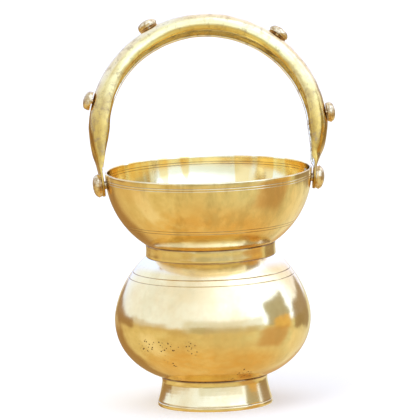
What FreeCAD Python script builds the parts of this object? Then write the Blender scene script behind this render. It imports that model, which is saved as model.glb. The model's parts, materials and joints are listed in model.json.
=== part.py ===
import FreeCAD, Part

import math
import os

import Sketcher

# A brass water pot with a swinging bail handle: a wide bowl on a short neck collar, a round bulb and a
# flared foot ring. Millimetres, +Z up, origin at the centre of the foot's resting plane. The handle
# turns about the X axis through the two pivot rivets and is drawn leaning back towards +Y.

DIMENSIONS = {
    # upper bowl: two tangent arcs, given by the first arc's centre, both radii and the turning point
    "rim_height": 148.4,
    "bowl_arc_centre": 10.92,
    "bowl_arc_height": 147.7,
    "bowl_side_radius": 54.1,
    "bowl_low_radius": 55.1,
    "bowl_turn_angle": 26.8,
    "bowl_wall": 1.4,
    "bowl_line_top": 144.9,
    "bowl_line_middle": 143.5,
    "bowl_line_bottom": 142.3,
    "bowl_low_line_top": 116.3,
    "bowl_low_line_bottom": 114.6,
    # neck collar and the two spigots inside it
    "collar_radius": 40.8,
    "spigot_radius": 38.5,
    "spigot_wall": 1.4,
    "spigot_meeting_height": 98.5,
    "braze_gap": 0.05,
    # bulb: upper, side and lower tangent arcs around one widest height
    "bulb_radius": 61.8,
    "bulb_middle_height": 54.1,
    "bulb_side_radius": 34.6,
    "bulb_low_radius": 42.5,
    "bulb_top_radius": 58.9,
    "bulb_low_angle": 40.3,
    "bulb_top_angle": 12.6,
    "bulb_wall": 1.4,
    "bulb_line_top": 85.3,
    "bulb_line_bottom": 81.8,
    # foot ring
    "foot_top_radius": 33.8,
    "foot_waist_radius": 33.05,
    "foot_waist_height": 15.0,
    "foot_band_radius": 36.2,
    "foot_band_height": 2.4,
    "foot_band_step": 0.3,
    "foot_edge": 0.5,
    "foot_inner_radius": 34.3,
    "foot_inner_top_radius": 31.5,
    "foot_inner_top_height": 14.0,
    "foot_waist_arc": 6.0,
    "foot_flare_arc": 60.0,
    # turned lines
    "line_radius": 0.32,
    # pivot
    "pivot_height": 140.8,
    "pivot_shank_radius": 2.5,
    "pivot_clearance": 0.05,
    "handle_lean": 21.0,
    "tab_tilt": 6.0,
    "tab_inner_distance": 66.0,
    "tab_thickness": 1.4,
    "tab_half_width": 8.0,
    "tab_end_radius": 7.2,
    "tab_length": 11.0,
    # handle: a channel with turned-in lips whose crest follows an arc above the pivot
    "arch_centre_offset": 1.6,
    "arch_centre_height": 33.0,
    "crest_radius": 75.5,
    "channel_depth_right": 12.4,
    "channel_depth_crown": 12.9,
    "channel_depth_left": 13.8,
    "channel_half_width_side": 10.8,
    "channel_half_width_crown": 11.6,
    "channel_wall": 1.4,
    "lip_turn": 34.0,
    "lip_turn_start_depth": 2.5,
    "lip_turn_full_depth": 12.0,
    # pivot rivet head, tail and washers
    "pivot_head_radius": 7.5,
    "pivot_head_foot_radius": 6.7,
    "pivot_head_belly_height": 2.0,
    "pivot_head_height": 5.5,
    "pivot_head_flank": 4.5,
    "pivot_head_crown_radius": 4.6,
    "pivot_head_crown_arc": 13.0,
    "pivot_tail_radius": 3.7,
    "pivot_tail_height": 1.2,
    "pivot_tail_distance": 60.5,
    "burr_radius": 5.6,
    "burr_thickness": 1.2,
    "spacer_radius": 3.9,
    "spacer_thickness": 0.4,
    "spacer_play": 0.1,
    # handle studs
    "stud_head_radius": 6.6,
    "stud_foot_radius": 5.9,
    "stud_head_belly_height": 1.7,
    "stud_head_height": 5.2,
    "stud_head_flank": 3.8,
    "stud_head_crown_radius": 4.0,
    "stud_head_crown_arc": 11.5,
    "stud_shank_radius": 1.5,
    "stud_tail_radius": 2.3,
    "stud_tail_height": 0.8,
    "stud_burr_radius": 3.3,
    "stud_burr_thickness": 1.0,
    "stud_burr_drop": 2.3,
    "stud_seat_gap": 0.2,
}

# Handle legs below the arc, from the arc down to the tab: lip distance, lip height, crest distance,
# crest height and half width, in the handle's own plane with the pivot at height 0.
LEG_STATIONS = {
    "right_leg_upper": (65.6, 22.5, 74.7, 20.6, 10.2),
    "right_leg_middle": (65.5, 15.2, 71.7, 13.5, 9.2),
    "right_leg_lower": (66.85, 9.0, 69.1, 8.7, 8.3),
    "left_leg_upper": (63.9, 22.5, 72.6, 20.6, 10.2),
    "left_leg_middle": (65.4, 15.0, 70.3, 13.6, 9.2),
    "left_leg_lower": (66.85, 9.0, 68.8, 8.7, 8.3),
}
LEG_FIELDS = ("lip", "lip_height", "crest", "crest_height", "half_width")

# How finely the handle's loft is divided: points on each curve of a section, sections round the arch.
SECTION_POINTS = 15
ARCH_STEPS = 12

# Stud places around the arch, in degrees from +X.
STUD_ANGLES = {
    "stud_angle_right": 6.5,
    "stud_angle_upper_right": 52.0,
    "stud_angle_upper_left": 117.0,
    "stud_angle_left": 163.5,
}

doc = FreeCAD.newDocument("lota_pot")
sheet = doc.addObject("Spreadsheet::Sheet", "Sheet")
parts = []


class Dim:
    """A number together with the spreadsheet formula that gives it."""

    def __init__(self, value, text):
        self.value = value
        self.text = text

    def __add__(self, other):
        other = as_dim(other)
        return Dim(self.value + other.value, f"({self.text} + {other.text})")

    def __sub__(self, other):
        other = as_dim(other)
        return Dim(self.value - other.value, f"({self.text} - {other.text})")

    def __mul__(self, other):
        other = as_dim(other)
        return Dim(self.value * other.value, f"({self.text} * {other.text})")

    def __truediv__(self, other):
        other = as_dim(other)
        return Dim(self.value / other.value, f"({self.text} / {other.text})")


def as_dim(number):
    return number if isinstance(number, Dim) else Dim(float(number), repr(float(number)))


def cosine(angle):
    return Dim(math.cos(math.radians(angle.value)), f"cos({angle.text})")


def sine(angle):
    return Dim(math.sin(math.radians(angle.value)), f"sin({angle.text})")


def root(number):
    return Dim(math.sqrt(number.value), f"sqrt({number.text})")


def reach(radius, offset):
    """The other leg of a right triangle: how far an arc stands out at an offset from its centre."""
    return root(radius * radius - offset * offset)


def cell(name):
    return Dim(values[name], f"Sheet.{name}")


def fill_sheet():
    values = dict(DIMENSIONS)
    for station, numbers in LEG_STATIONS.items():
        for field, number in zip(LEG_FIELDS, numbers):
            values[f"{station}_{field}"] = number
    values.update(STUD_ANGLES)
    for row, (name, number) in enumerate(values.items(), start=1):
        sheet.set(f"A{row}", name)
        sheet.set(f"B{row}", str(number))
        sheet.setAlias(f"B{row}", name)
    doc.recompute()
    return values


def origin_plane(body, role):
    return next(item for item in body.Origin.OriginFeatures if item.Role == role)


def new_body(label):
    body = doc.addObject("PartDesign::Body", label)
    body.Label = label
    parts.append(body)
    return body


def new_sketch(body, name, role="XZ_Plane"):
    sketch = body.newObject("Sketcher::SketchObject", name)
    sketch.AttachmentSupport = [(origin_plane(body, role), "")]
    sketch.MapMode = "FlatFace"
    return sketch


def bind_point(sketch, edge, end, point):
    """Hold one end of an edge (or a circle's centre) at a place measured from the sketch's origin."""
    for kind, axis, distance in (("DistanceX", -2, point[0]), ("DistanceY", -1, point[1])):
        if abs(distance.value) < 1e-9:
            sketch.addConstraint(Sketcher.Constraint("PointOnObject", edge, end, axis))
            continue
        index = sketch.addConstraint(Sketcher.Constraint(kind, -1, 1, edge, end, distance.value))
        sketch.setExpression(f"Constraints[{index}]", distance.text)


def bind_radius(sketch, edge, radius):
    index = sketch.addConstraint(Sketcher.Constraint("Radius", edge, radius.value))
    sketch.setExpression(f"Constraints[{index}]", radius.text)


def vector(point):
    return FreeCAD.Vector(point[0].value, point[1].value, 0)


def arc_between(start, end, radius, turn):
    """An arc from start to end. turn is +1 when it goes round anticlockwise and -1 clockwise."""
    middle = (start + end) * 0.5
    chord = end - start
    side = FreeCAD.Vector(-chord.y, chord.x, 0).normalize()
    centre = middle + side * (turn * math.sqrt(radius * radius - chord.Length**2 / 4))
    first, last = (start, end) if turn > 0 else (end, start)
    angles = [math.atan2(point.y - centre.y, point.x - centre.x) for point in (first, last)]
    circle = Part.Circle(centre, FreeCAD.Vector(0, 0, 1), radius)
    return Part.ArcOfCircle(circle, angles[0], angles[1])


def draw_outline(sketch, corners):
    """Draw a closed outline. A corner is (x, y), or (x, y, radius, turn) before an arc."""
    ends = []
    for number, corner in enumerate(corners):
        start = vector(corner)
        end = vector(corners[(number + 1) % len(corners)])
        if len(corner) == 2:
            edge = sketch.addGeometry(Part.LineSegment(start, end), False)
            ends.append((edge, 1, 2))
            continue
        radius, turn = corner[2], corner[3]
        edge = sketch.addGeometry(arc_between(start, end, radius.value, turn), False)
        ends.append((edge, 1, 2) if turn > 0 else (edge, 2, 1))
        bind_radius(sketch, edge, radius)
    for number, (edge, start, end) in enumerate(ends):
        following, first, last = ends[(number + 1) % len(ends)]
        sketch.addConstraint(Sketcher.Constraint("Coincident", edge, end, following, first))
        bind_point(sketch, edge, start, corners[number])


def revolve(body, sketch, name):
    feature = body.newObject("PartDesign::Revolution", name)
    feature.Profile = sketch
    feature.ReferenceAxis = (sketch, ["V_Axis"])
    feature.Angle = 360.0
    doc.recompute()
    return feature


def lathe_piece(label, corners):
    body = new_body(label)
    sketch = new_sketch(body, f"{label}_outline")
    draw_outline(sketch, corners)
    revolve(body, sketch, f"{label}_turned")
    return body


def must_remove(body, before, what):
    doc.recompute()
    if body.Shape.Volume >= before - 1e-6:
        raise RuntimeError(f"{body.Label}: {what} removed nothing")


def turn_lines(body, centres):
    """Cut fine round-bottomed lines into a turned piece."""
    before = body.Shape.Volume
    sketch = new_sketch(body, f"{body.Label}_lines")
    for centre in centres:
        circle = Part.Circle(vector(centre), FreeCAD.Vector(0, 0, 1), values["line_radius"])
        edge = sketch.addGeometry(circle, False)
        bind_point(sketch, edge, 3, centre)
        bind_radius(sketch, edge, cell("line_radius"))
    groove = body.newObject("PartDesign::Groove", f"{body.Label}_line_cut")
    groove.Profile = sketch
    groove.ReferenceAxis = (sketch, ["V_Axis"])
    groove.Angle = 360.0
    must_remove(body, before, "the turned lines")


def on_arc(centre, radius, height):
    """The point of an arc at a height, on its outer side."""
    return (centre[0] + reach(radius, height - centre[1]), height)


def along(centre, radius, angle):
    return (centre[0] + radius * cosine(angle), centre[1] + radius * sine(angle))


def bowl_centres():
    side = (cell("bowl_arc_centre"), cell("bowl_arc_height"))
    below = cell("bowl_turn_angle") * -1
    return side, along(side, cell("bowl_side_radius") - cell("bowl_low_radius"), below)


def make_bowl():
    wall = cell("bowl_wall")
    side_radius = cell("bowl_side_radius")
    low_radius = cell("bowl_low_radius")
    below = cell("bowl_turn_angle") * -1
    side_centre, low_centre = bowl_centres()
    bore = cell("spigot_radius") - cell("spigot_wall")
    spigot = cell("spigot_radius")
    spigot_end = cell("spigot_meeting_height") + cell("braze_gap")
    inside_height = low_centre[1] - reach(low_radius - wall, bore - low_centre[0])
    corners = [
        (*on_arc(side_centre, side_radius - wall, cell("rim_height")), side_radius - wall, -1),
        (*along(side_centre, side_radius - wall, below), low_radius - wall, -1),
        (bore, inside_height),
        (bore, spigot_end),
        (spigot, spigot_end),
        (spigot, low_centre[1] - reach(low_radius, spigot - low_centre[0]), low_radius, 1),
        (*along(side_centre, side_radius, below), side_radius, 1),
        on_arc(side_centre, side_radius, cell("rim_height")),
    ]
    body = lathe_piece("upper_bowl", corners)
    high_lines = ("bowl_line_top", "bowl_line_middle", "bowl_line_bottom")
    low_lines = ("bowl_low_line_top", "bowl_low_line_bottom")
    centres = [on_arc(side_centre, side_radius, cell(name)) for name in high_lines]
    centres += [on_arc(low_centre, low_radius, cell(name)) for name in low_lines]
    turn_lines(body, centres)
    bore_walls(body)


def bore_walls(body):
    """Drill both pivot holes through the bowl's walls in one pass along the X axis."""
    before = body.Shape.Volume
    sketch = new_sketch(body, "pivot_holes", "YZ_Plane")
    centre = (as_dim(0), cell("pivot_height"))
    radius = cell("pivot_shank_radius") + cell("pivot_clearance")
    circle = Part.Circle(vector(centre), FreeCAD.Vector(0, 0, 1), radius.value)
    edge = sketch.addGeometry(circle, False)
    bind_point(sketch, edge, 3, centre)
    bind_radius(sketch, edge, radius)
    pocket = body.newObject("PartDesign::Pocket", "pivot_hole_cut")
    pocket.Profile = sketch
    pocket.Type = "ThroughAll"
    pocket.Midplane = True
    must_remove(body, before, "the pivot holes")


def make_collar():
    """A short sleeve over both spigots; its ends follow the bulb's shoulder and the bowl's underside."""
    inner = cell("spigot_radius") + cell("braze_gap")
    outer = cell("collar_radius")
    bowl_arc = cell("bowl_low_radius") + cell("braze_gap")
    bulb_arc = cell("bulb_top_radius") + cell("braze_gap")
    bowl_centre = bowl_centres()[1]
    bulb_centre = bulb_centres()[2]
    lathe_piece(
        "neck_collar",
        [
            (inner, bulb_centre[1] + reach(bulb_arc, inner - bulb_centre[0]), bulb_arc, -1),
            (outer, bulb_centre[1] + reach(bulb_arc, outer - bulb_centre[0])),
            (outer, bowl_centre[1] - reach(bowl_arc, outer - bowl_centre[0]), bowl_arc, -1),
            (inner, bowl_centre[1] - reach(bowl_arc, inner - bowl_centre[0])),
        ],
    )


def bulb_centres():
    side = (cell("bulb_radius") - cell("bulb_side_radius"), cell("bulb_middle_height"))
    below = cell("bulb_low_angle") * -1
    low = along(side, cell("bulb_side_radius") - cell("bulb_low_radius"), below)
    top = along(side, cell("bulb_side_radius") - cell("bulb_top_radius"), cell("bulb_top_angle"))
    return side, low, top


def make_bulb():
    wall = cell("bulb_wall")
    side_radius = cell("bulb_side_radius")
    low_radius = cell("bulb_low_radius")
    top_radius = cell("bulb_top_radius")
    side, low, top = bulb_centres()
    below = cell("bulb_low_angle") * -1
    above = cell("bulb_top_angle")
    bore = cell("spigot_radius") - cell("spigot_wall")
    spigot = cell("spigot_radius")
    spigot_end = cell("spigot_meeting_height") - cell("braze_gap")
    inside_height = top[1] + reach(top_radius - wall, bore - top[0])
    bottom = low[1] - low_radius
    corners = [
        (as_dim(0), bottom),
        (low[0], bottom, low_radius, 1),
        (*along(side, side_radius, below), side_radius, 1),
        (*along(side, side_radius, above), top_radius, 1),
        (spigot, top[1] + reach(top_radius, spigot - top[0])),
        (spigot, spigot_end),
        (bore, spigot_end),
        (bore, inside_height, top_radius - wall, -1),
        (*along(side, side_radius - wall, above), side_radius - wall, -1),
        (*along(side, side_radius - wall, below), low_radius - wall, -1),
        (low[0], bottom + wall),
        (as_dim(0), bottom + wall),
    ]
    body = lathe_piece("bulb", corners)
    lines = ("bulb_line_top", "bulb_line_bottom")
    turn_lines(body, [on_arc(top, top_radius, cell(name)) for name in lines])


def make_foot():
    low = bulb_centres()[1]
    seat = cell("bulb_low_radius") + cell("braze_gap")
    outer_top = (cell("foot_top_radius"), low[1] - reach(seat, cell("foot_top_radius") - low[0]))
    inner_radius = cell("foot_inner_top_radius")
    inner_top = (inner_radius, low[1] - reach(seat, inner_radius - low[0]))
    band = cell("foot_band_radius")
    step = cell("foot_band_step")
    edge = cell("foot_edge")
    lathe_piece(
        "foot_ring",
        [
            (*inner_top, seat, 1),
            (*outer_top, cell("foot_waist_arc"), 1),
            (cell("foot_waist_radius"), cell("foot_waist_height"), cell("foot_flare_arc"), 1),
            (band - step, cell("foot_band_height") + step),
            (band, cell("foot_band_height")),
            (band, edge),
            (band - edge, as_dim(0)),
            (cell("foot_inner_radius"), as_dim(0)),
            (inner_radius, cell("foot_inner_top_height")),
        ],
    )


def handle_placement():
    """The handle's own frame: its plane leans back about the pivot axis."""
    turn = FreeCAD.Rotation(FreeCAD.Vector(1, 0, 0), -values["handle_lean"])
    return FreeCAD.Placement(FreeCAD.Vector(0, 0, values["pivot_height"]), turn)


def lip_turn(depth):
    """How far the lips turn in, in radians: not at all where the channel is nearly flat."""
    start = values["lip_turn_start_depth"]
    share = (depth - start) / (values["lip_turn_full_depth"] - start)
    return math.radians(values["lip_turn"]) * min(max(share, 0), 1)


def channel_section(lip, crest, half_width):
    """An elliptical channel section whose lips turn in, open towards the inside of the arch."""
    wall = values["channel_wall"]
    outward = crest - lip
    turn = lip_turn(outward.Length)
    height = outward.Length / (1 + math.sin(turn))
    outward.normalize()
    centre = crest - outward * height
    outer = open_ellipse(centre, outward, half_width, height, turn)
    inner = open_ellipse(centre, outward, half_width - wall, height - wall, turn)
    near_lip = Part.makeLine(outer.valueAt(outer.LastParameter), inner.valueAt(inner.LastParameter))
    far_lip = Part.makeLine(inner.valueAt(inner.FirstParameter), outer.valueAt(outer.FirstParameter))
    return Part.Wire([outer, near_lip, inner, far_lip])


def open_ellipse(centre, outward, width, height, turn):
    """Half an ellipse, longer by a turn at each end, as one spline through evenly spaced points."""
    across = FreeCAD.Vector(0, 1, 0)
    points = []
    for number in range(SECTION_POINTS):
        angle = (math.pi + 2 * turn) * number / (SECTION_POINTS - 1) - turn
        points.append(centre + across * (width * math.cos(angle)) + outward * (height * math.sin(angle)))
    curve = Part.BSplineCurve()
    curve.interpolate(points)
    return curve.toShape()


def leg_station(name, side):
    """Lip, crest and half width of one section of a leg. side is +1 on the right and -1 on the left."""
    lip = FreeCAD.Vector(side * values[f"{name}_lip"], 0, values[f"{name}_lip_height"])
    crest = FreeCAD.Vector(side * values[f"{name}_crest"], 0, values[f"{name}_crest_height"])
    return lip, crest, values[f"{name}_half_width"]


def arch_centre():
    return FreeCAD.Vector(values["arch_centre_offset"], 0, values["arch_centre_height"])


def arch_stations():
    """Lip, crest and half width of each section, from the right tab over the crown to the left."""
    right_leg = [leg_station(f"right_leg_{level}", 1) for level in ("lower", "middle", "upper")]
    left_leg = [leg_station(f"left_leg_{level}", -1) for level in ("upper", "middle", "lower")]
    arc = []
    for number in range(ARCH_STEPS + 1):
        angle = math.pi * number / ARCH_STEPS
        direction = FreeCAD.Vector(math.cos(angle), 0, math.sin(angle))
        side_depth = "channel_depth_right" if direction.x > 0 else "channel_depth_left"
        depth = blend(side_depth, "channel_depth_crown", math.sin(angle))
        half_width = blend("channel_half_width_side", "channel_half_width_crown", math.sin(angle))
        crest = arch_centre() + direction * values["crest_radius"]
        arc.append((crest - direction * depth, crest, half_width))
    return right_leg + arc + left_leg


def blend(first, last, share):
    return values[first] + (values[last] - values[first]) * share


def tab_plate():
    """The flat right-hand tab: a plate with a round lower end, leaning out by the tab's tilt."""
    half_width = values["tab_half_width"]
    top = values["tab_length"]
    near_top = FreeCAD.Vector(0, -half_width, top)
    near = FreeCAD.Vector(0, -half_width, 0)
    low = FreeCAD.Vector(0, 0, -values["tab_end_radius"])
    far = FreeCAD.Vector(0, half_width, 0)
    far_top = FreeCAD.Vector(0, half_width, top)
    edges = [
        Part.makeLine(far_top, far),
        Part.Arc(far, low, near).toShape(),
        Part.makeLine(near, near_top),
        Part.makeLine(near_top, far_top),
    ]
    plate = Part.Face(Part.Wire(edges)).extrude(FreeCAD.Vector(values["tab_thickness"], 0, 0))
    plate.rotate(FreeCAD.Vector(), FreeCAD.Vector(0, 1, 0), values["tab_tilt"])
    plate.translate(FreeCAD.Vector(values["tab_inner_distance"], 0, 0))
    return plate


def handle_drills():
    """One long drill through both tabs, and one through the crest for each stud."""
    clearance = values["pivot_clearance"]
    out = FreeCAD.Vector(1, 0, 0)
    far_side = out * (2 * values["crest_radius"])
    pivot_radius = values["pivot_shank_radius"] + clearance
    drills = [Part.makeCylinder(pivot_radius, 2 * far_side.Length, far_side * -1, out)]
    stud_reach = 3 * values["channel_wall"]
    for name in STUD_ANGLES:
        angle = math.radians(values[name])
        direction = FreeCAD.Vector(math.cos(angle), 0, math.sin(angle))
        start = arch_centre() + direction * (values["crest_radius"] - stud_reach)
        stud_radius = values["stud_shank_radius"] + clearance
        drills.append(Part.makeCylinder(stud_radius, 2 * stud_reach, start, direction))
    return drills


def make_handle():
    """The bail: a lofted channel that tapers into two flat tabs, drilled for its rivets and studs."""
    sections = [channel_section(*station) for station in arch_stations()]
    channel = Part.makeLoft(sections, True, False)
    right_tab = tab_plate()
    left_tab = right_tab.mirror(FreeCAD.Vector(), FreeCAD.Vector(1, 0, 0))
    shape = channel.fuse([right_tab, left_tab]).removeSplitter().cut(handle_drills())
    handle = doc.addObject("Part::Feature", "handle")
    handle.Label = "handle"
    handle.Shape = shape.Solids[0] if len(shape.Solids) == 1 else shape
    handle.Placement = handle_placement()
    parts.append(handle)


def side_placement(side):
    """A frame on the pivot axis whose Z points out of the pot on one side and X up the handle."""
    lean = math.radians(values["handle_lean"])
    up = FreeCAD.Vector(0, math.sin(lean), math.cos(lean))
    out = FreeCAD.Vector(side, 0, 0)
    turn = FreeCAD.Rotation(up, out.cross(up), out, "ZXY")
    return FreeCAD.Placement(FreeCAD.Vector(0, 0, values["pivot_height"]), turn)


def head_corners(prefix, foot_radius):
    """A hammered-flat dome: a short flank, a round shoulder and a shallow crown."""
    flank = cell(f"{prefix}_flank")
    arc = cell(f"{prefix}_crown_arc")
    edge = cell(f"{prefix}_crown_radius")
    crown = (edge, cell(f"{prefix}_height") - arc + reach(arc, edge))
    return [
        (as_dim(0), as_dim(0)),
        (foot_radius, as_dim(0)),
        (cell(f"{prefix}_radius"), cell(f"{prefix}_belly_height"), flank, 1),
        (*crown, arc, 1),
        (as_dim(0), cell(f"{prefix}_height")),
    ]


def make_pivot_rivet(label, side):
    body = new_body(label)
    tail = cell("pivot_tail_height")
    root_distance = cell("pivot_tail_distance") - tail
    shank = cell("pivot_shank_radius")
    shank_end = cell("tab_inner_distance") + cell("tab_thickness") + shank * 0.5
    tail_sketch = new_sketch(body, f"{label}_shank")
    draw_outline(
        tail_sketch,
        [
            (as_dim(0), root_distance),
            (shank, root_distance),
            (cell("pivot_tail_radius"), root_distance + tail * 0.5),
            (cell("pivot_tail_radius"), root_distance + tail),
            (shank, root_distance + tail),
            (shank, shank_end),
            (as_dim(0), shank_end),
        ],
    )
    revolve(body, tail_sketch, f"{label}_turned_shank")
    head_sketch = new_sketch(body, f"{label}_head")
    tilt = values["tab_tilt"]
    distance = values["tab_inner_distance"] + values["tab_thickness"] / math.cos(math.radians(tilt))
    turn = FreeCAD.Rotation(FreeCAD.Vector(0, 0, 1), tilt)
    head_sketch.AttachmentOffset = FreeCAD.Placement(FreeCAD.Vector(0, distance, 0), turn)
    head_sketch.setExpression(
        ".AttachmentOffset.Base.y", "Sheet.tab_inner_distance + Sheet.tab_thickness / cos(Sheet.tab_tilt)"
    )
    head_sketch.setExpression(".AttachmentOffset.Rotation.Angle", "Sheet.tab_tilt")
    draw_outline(head_sketch, head_corners("pivot_head", cell("pivot_head_foot_radius")))
    revolve(body, head_sketch, f"{label}_turned_head")
    body.Placement = side_placement(side)


def washer(label, inner, outer, low, high):
    return lathe_piece(label, [(inner, low), (outer, low), (outer, high), (inner, high)])


def make_burr(label, side):
    inner = cell("pivot_shank_radius") + cell("pivot_clearance")
    low = cell("pivot_tail_distance")
    body = washer(label, inner, cell("burr_radius"), low, low + cell("burr_thickness"))
    body.Placement = side_placement(side)


def make_spacer(label, side):
    """A washer flat against the tab's inner face, so it has the tab's tilt."""
    drilled = (cell("pivot_shank_radius") + cell("pivot_clearance")) / cosine(cell("tab_tilt"))
    inner = drilled + cell("spacer_play")
    body = washer(label, inner, cell("spacer_radius"), as_dim(0), cell("spacer_thickness"))
    tilt = FreeCAD.Rotation(FreeCAD.Vector(0, 1, 0), -values["tab_tilt"])
    seat = FreeCAD.Placement(FreeCAD.Vector(0, 0, values["tab_inner_distance"]), tilt)
    lift = FreeCAD.Placement(FreeCAD.Vector(0, 0, -values["spacer_thickness"]), FreeCAD.Rotation())
    body.Placement = side_placement(side) * seat * lift


def stud_placement(angle_name):
    """A frame on the crest of the arch whose Z points straight out of the handle."""
    angle = math.radians(values[angle_name])
    out = FreeCAD.Vector(math.cos(angle), 0, math.sin(angle))
    across = FreeCAD.Vector(0, 1, 0)
    turn = FreeCAD.Rotation(across, out.cross(across), out, "ZXY")
    inside = values["stud_burr_drop"] + values["stud_burr_thickness"] + values["stud_tail_height"]
    base = arch_centre() + out * (values["crest_radius"] + values["stud_seat_gap"] - inside)
    return handle_placement() * FreeCAD.Placement(base, turn)


def make_stud(label, angle_name):
    tail = cell("stud_tail_height")
    burr_top = tail + cell("stud_burr_thickness")
    seat = burr_top + cell("stud_burr_drop")
    shank = cell("stud_shank_radius")
    head = head_corners("stud_head", cell("stud_foot_radius"))[1:]
    corners = [
        (as_dim(0), as_dim(0)),
        (shank, as_dim(0)),
        (cell("stud_tail_radius"), tail * 0.5),
        (cell("stud_tail_radius"), tail),
        (shank, tail),
        (shank, seat),
    ]
    corners += [(corner[0], corner[1] + seat, *corner[2:]) for corner in head]
    body = lathe_piece(label, corners)
    body.Placement = stud_placement(angle_name)


def make_stud_burr(label, angle_name):
    tail = cell("stud_tail_height")
    inner = cell("stud_shank_radius") + cell("pivot_clearance")
    body = washer(label, inner, cell("stud_burr_radius"), tail, tail + cell("stud_burr_thickness"))
    body.Placement = stud_placement(angle_name)


def check_document():
    doc.recompute()
    failed = [item.Name for item in doc.Objects if "Invalid" in item.State or "Error" in item.State]
    if failed:
        raise RuntimeError(f"failed objects: {failed}")
    for part in parts:
        if part.Shape.isNull() or not part.Shape.isValid():
            raise RuntimeError(f"{part.Label} has no valid shape")
        if len(part.Shape.Solids) != 1:
            raise RuntimeError(f"{part.Label} has {len(part.Shape.Solids)} solids")


def write_parts():
    os.makedirs("parts", exist_ok=True)
    for part in parts:
        part.Shape.exportStep(f"parts/{part.Label}.step")
        print(part.Label, round(part.Shape.Volume, 1), part.Shape.BoundBox)


values = fill_sheet()
make_bowl()
make_collar()
make_bulb()
make_foot()
make_handle()
for side_name, side in (("left", -1), ("right", 1)):
    make_pivot_rivet(f"pivot_rivet_{side_name}", side)
    make_burr(f"inner_burr_{side_name}", side)
    make_spacer(f"spacer_washer_{side_name}", side)
for angle_name in STUD_ANGLES:
    place = angle_name.removeprefix("stud_angle_")
    make_stud(f"handle_stud_{place}", angle_name)
    make_stud_burr(f"stud_burr_{place}", angle_name)
check_document()
write_parts()
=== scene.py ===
import json
import math
import random

import bmesh
import bpy
from mathutils import Matrix, Vector, noise


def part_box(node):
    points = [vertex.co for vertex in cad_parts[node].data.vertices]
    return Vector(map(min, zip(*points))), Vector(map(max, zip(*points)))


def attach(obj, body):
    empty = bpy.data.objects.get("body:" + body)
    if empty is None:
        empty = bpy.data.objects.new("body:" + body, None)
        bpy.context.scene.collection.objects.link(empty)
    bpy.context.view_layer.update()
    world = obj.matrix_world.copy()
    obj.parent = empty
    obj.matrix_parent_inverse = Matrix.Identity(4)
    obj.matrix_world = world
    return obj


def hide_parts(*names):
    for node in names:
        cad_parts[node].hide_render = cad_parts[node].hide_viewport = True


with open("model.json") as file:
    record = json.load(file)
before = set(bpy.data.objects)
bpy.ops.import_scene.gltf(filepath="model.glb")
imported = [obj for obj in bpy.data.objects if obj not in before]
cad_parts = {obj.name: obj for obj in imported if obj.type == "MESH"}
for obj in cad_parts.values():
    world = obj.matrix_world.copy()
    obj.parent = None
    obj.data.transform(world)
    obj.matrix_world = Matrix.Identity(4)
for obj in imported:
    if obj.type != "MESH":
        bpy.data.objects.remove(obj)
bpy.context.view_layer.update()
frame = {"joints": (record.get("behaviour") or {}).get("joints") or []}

MM = 0.001


# ---------------------------------------------------------------- sizes, in millimetres

WALL = 1.4
PIVOT_HEIGHT = frame["joints"][0]["pos_m"][2] / MM
HANDLE_LEAN = math.radians(21.0)
TAB_TILT = math.radians(6.0)
TAB_INNER = 66.0
RIM_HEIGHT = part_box("upper_bowl")[1].z / MM
BULB_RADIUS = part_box("bulb")[1].x / MM
COLLAR_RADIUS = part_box("neck_collar")[1].x / MM
FOOT_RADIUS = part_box("foot_ring")[1].x / MM
SPIGOT_RADIUS = 38.5
SPIGOT_MEETING = 98.5
# Heights of the fine lines turned into the bowl near its rim and its waist, and into the bulb's shoulder.
RIM_LINES = (144.7, 143.2)
WAIST_LINES = (116.3, 114.6)
SHOULDER_LINES = (85.3, 81.8)
ARCH_OFFSET = 1.6
ARCH_HEIGHT = 33.0
CREST_RADIUS = 75.5
# The channel: its depth on each side and at the crown, its half width, and how its lips turn in.
DEPTH_RIGHT, DEPTH_LEFT, DEPTH_CROWN = 12.4, 13.8, 12.9
SIDE_HALF_WIDTH, CROWN_WIDENING = 10.8, 0.8
LIP_TURN = math.radians(34.0)
LIP_TURN_START, LIP_TURN_SPAN = 2.5, 9.5
SECTION_CENTRE = 67.2
WORKED_DEPTH = 5.0
TAB_END = 7.2
TAB_HALF_WIDTH = 8.0


# ---------------------------------------------------------------- profiles

def arc(centre, radius, start, end, step=1.2):
    """Points of an arc, in degrees, about one point each step of length."""
    length = abs(math.radians(end - start)) * radius
    count = max(3, int(length / step))
    angles = [math.radians(start + (end - start) * i / count) for i in range(count + 1)]
    return [(centre[0] + radius * math.cos(a), centre[1] + radius * math.sin(a)) for a in angles]


def angle_at_height(centre, radius, height):
    return math.degrees(math.asin((height - centre[1]) / radius))


def angle_at_radius(centre, radius, distance):
    return math.degrees(math.acos((distance - centre[0]) / radius))


def straight(first, last, step=1.2):
    length = math.dist(first, last)
    count = max(1, int(length / step))
    return [tuple(a + (b - a) * i / count for a, b in zip(first, last)) for i in range(count + 1)]


def joined(*runs):
    """One list of points from several runs, without repeats."""
    points = []
    for run in runs:
        for point in run:
            if not points or math.dist(points[-1], point) > 1e-4:
                points.append(point)
    if math.dist(points[0], points[-1]) < 1e-4:
        points.pop()
    return points


def with_turned_lines(points, heights, depth, half_width):
    """Add fine round-bottomed lines to the outer stretch of a profile."""
    fine = []
    for first, last in zip(points, points[1:]):
        fine.append(first)
        low, high = sorted((first[1], last[1]))
        near = [h for h in heights if low - 2 * half_width < h < high + 2 * half_width]
        if near:
            pieces = max(1, int(math.dist(first, last) / 0.1))
            for i in range(1, pieces):
                fine.append(tuple(a + (b - a) * i / pieces for a, b in zip(first, last)))
    fine.append(points[-1])
    cut = []
    for radius, height in fine:
        inward = sum(depth * math.exp(-(((height - h) / half_width) ** 2) * 2.5) for h in heights)
        cut.append((radius - inward, height))
    return cut


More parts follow.
